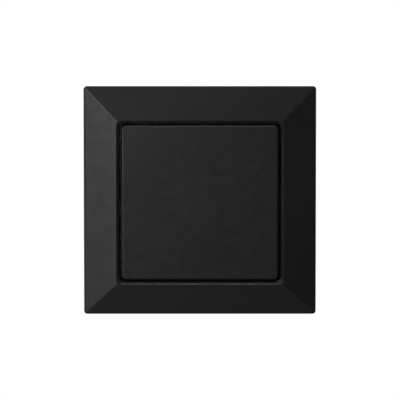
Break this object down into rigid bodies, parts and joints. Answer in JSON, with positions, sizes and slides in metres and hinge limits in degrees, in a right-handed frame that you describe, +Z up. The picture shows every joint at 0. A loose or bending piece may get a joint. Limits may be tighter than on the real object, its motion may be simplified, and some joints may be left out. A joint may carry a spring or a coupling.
{
  "type": "rocker wall switch",
  "caption": "Square rocker wall switch with a bevelled cover frame, on a steel-ringed insert with rear wire clamps and spreading claws for a round flush box.",
  "frame": {"origin": "centre of the box screws' circle, in the plane of the wall face", "axes": "+Y into the wall, so the rocker faces -Y; +Z up the wall; +X to the right as seen from the front"},
  "size_m": [0.081, 0.0324, 0.081],
  "materials": {
    "frame_plastic": "fine moulded grain, satin",
    "rocker_plastic": "fine moulded grain, satin",
    "ring_steel": "galvanised sheet",
    "insert_plastic": "moulded polyamide",
    "toggle_plastic": "moulded polyamide",
    "plunger_plastic": "smooth acetal",
    "lever_plastic": "moulded polyamide",
    "spring_steel": "drawn stainless wire and strip",
    "contact_brass": "rolled strip",
    "contact_silver": "silver rivet head",
    "zinc_steel": "zinc plated",
    "claw_steel": "zinc plated pressing"
  },
  "bodies": {
    "insert": {"support_ring": "ring_steel", "cover_frame": "frame_plastic", "mechanism_base": "insert_plastic", "rear_plate": "insert_plastic", "bearing_cover": "insert_plastic", "common_bar": "contact_brass", "upper_bar": "contact_brass", "lower_bar": "contact_brass", "bar_tips": "contact_silver", "clamp_spring_common": "spring_steel", "clamp_spring_upper": "spring_steel", "clamp_spring_lower": "spring_steel", "return_spring_upper": "spring_steel", "return_spring_lower": "spring_steel"},
    "rocker": {"rocker_cap": "rocker_plastic", "toggle": "toggle_plastic", "contact_spring": "spring_steel"},
    "plunger": {"plunger": "plunger_plastic"},
    "contact_arm": {"contact_arm": "contact_brass", "arm_tips": "contact_silver"},
    "lever_common": {"release_lever_common": "lever_plastic"},
    "lever_upper": {"release_lever_upper": "lever_plastic"},
    "lever_lower": {"release_lever_lower": "lever_plastic"},
    "screw_left": {"claw_screw_left": "zinc_steel"},
    "screw_right": {"claw_screw_right": "zinc_steel"},
    "nut_left": {"claw_nut_left": "zinc_steel"},
    "nut_right": {"claw_nut_right": "zinc_steel"},
    "claw_left": {"claw_left": "claw_steel"},
    "claw_right": {"claw_right": "claw_steel"}
  },
  "joints": [
    {"name": "rocker_tilt", "type": "hinge", "parent": "insert", "child": "rocker", "pos_m": [0, -0.0036, 0], "axis": [1, 0, 0], "range_deg": [-4.5, 4.5], "stiffness_Nm_per_rad": 0.6, "deforming": ["return_spring_upper", "return_spring_lower"]},
    {"name": "plunger_slide", "type": "slide", "parent": "rocker", "child": "plunger", "axis": [0, -1, 0], "range_m": [0, 0.001], "stiffness_N_per_m": 300, "springref_m": -0.002, "deforming": ["contact_spring"]},
    {"name": "contact_rock", "type": "hinge", "parent": "insert", "child": "contact_arm", "pos_m": [0, 0.011, 0], "axis": [1, 0, 0], "range_deg": [-10.5, 10.5]},
    {"name": "release_common", "type": "slide", "parent": "insert", "child": "lever_common", "axis": [0, -1, 0], "range_m": [0, 0.0018], "stiffness_N_per_m": 400, "springref_m": -0.0005, "deforming": ["clamp_spring_common"]},
    {"name": "release_upper", "type": "slide", "parent": "insert", "child": "lever_upper", "axis": [0, -1, 0], "range_m": [0, 0.0018], "stiffness_N_per_m": 400, "springref_m": -0.0005, "deforming": ["clamp_spring_upper"]},
    {"name": "release_lower", "type": "slide", "parent": "insert", "child": "lever_lower", "axis": [0, -1, 0], "range_m": [0, 0.0018], "stiffness_N_per_m": 400, "springref_m": -0.0005, "deforming": ["clamp_spring_lower"]},
    {"name": "claw_nut_left_slide", "type": "slide", "parent": "insert", "child": "nut_left", "axis": [0, -1, 0], "range_m": [0, 0.007]},
    {"name": "claw_screw_left_turn", "type": "hinge", "parent": "insert", "child": "screw_left", "pos_m": [-0.0234, 0, 0], "axis": [0, 1, 0], "range_deg": [0, 5045]},
    {"name": "claw_left_spread", "type": "hinge", "parent": "nut_left", "child": "claw_left", "pos_m": [-0.0234, 0.017, 0], "axis": [0, 0, -1], "range_deg": [0, 24.5]},
    {"name": "claw_nut_right_slide", "type": "slide", "parent": "insert", "child": "nut_right", "axis": [0, -1, 0], "range_m": [0, 0.007]},
    {"name": "claw_screw_right_turn", "type": "hinge", "parent": "insert", "child": "screw_right", "pos_m": [0.0234, 0, 0], "axis": [0, 1, 0], "range_deg": [0, 5045]},
    {"name": "claw_right_spread", "type": "hinge", "parent": "nut_right", "child": "claw_right", "pos_m": [0.0234, 0.017, 0], "axis": [0, 0, 1], "range_deg": [0, 24.5]}
  ],
  "couplings": [
    {"joint": "contact_rock", "follows": "rocker_tilt", "ratio": -2.3182},
    {"joint": "claw_screw_left_turn", "follows": "claw_nut_left_slide", "rad_per_m": 12566},
    {"joint": "claw_left_spread", "follows": "claw_nut_left_slide", "rad_per_m": 59.84},
    {"joint": "claw_screw_right_turn", "follows": "claw_nut_right_slide", "rad_per_m": 12566},
    {"joint": "claw_right_spread", "follows": "claw_nut_right_slide", "rad_per_m": 59.84}
  ]
}
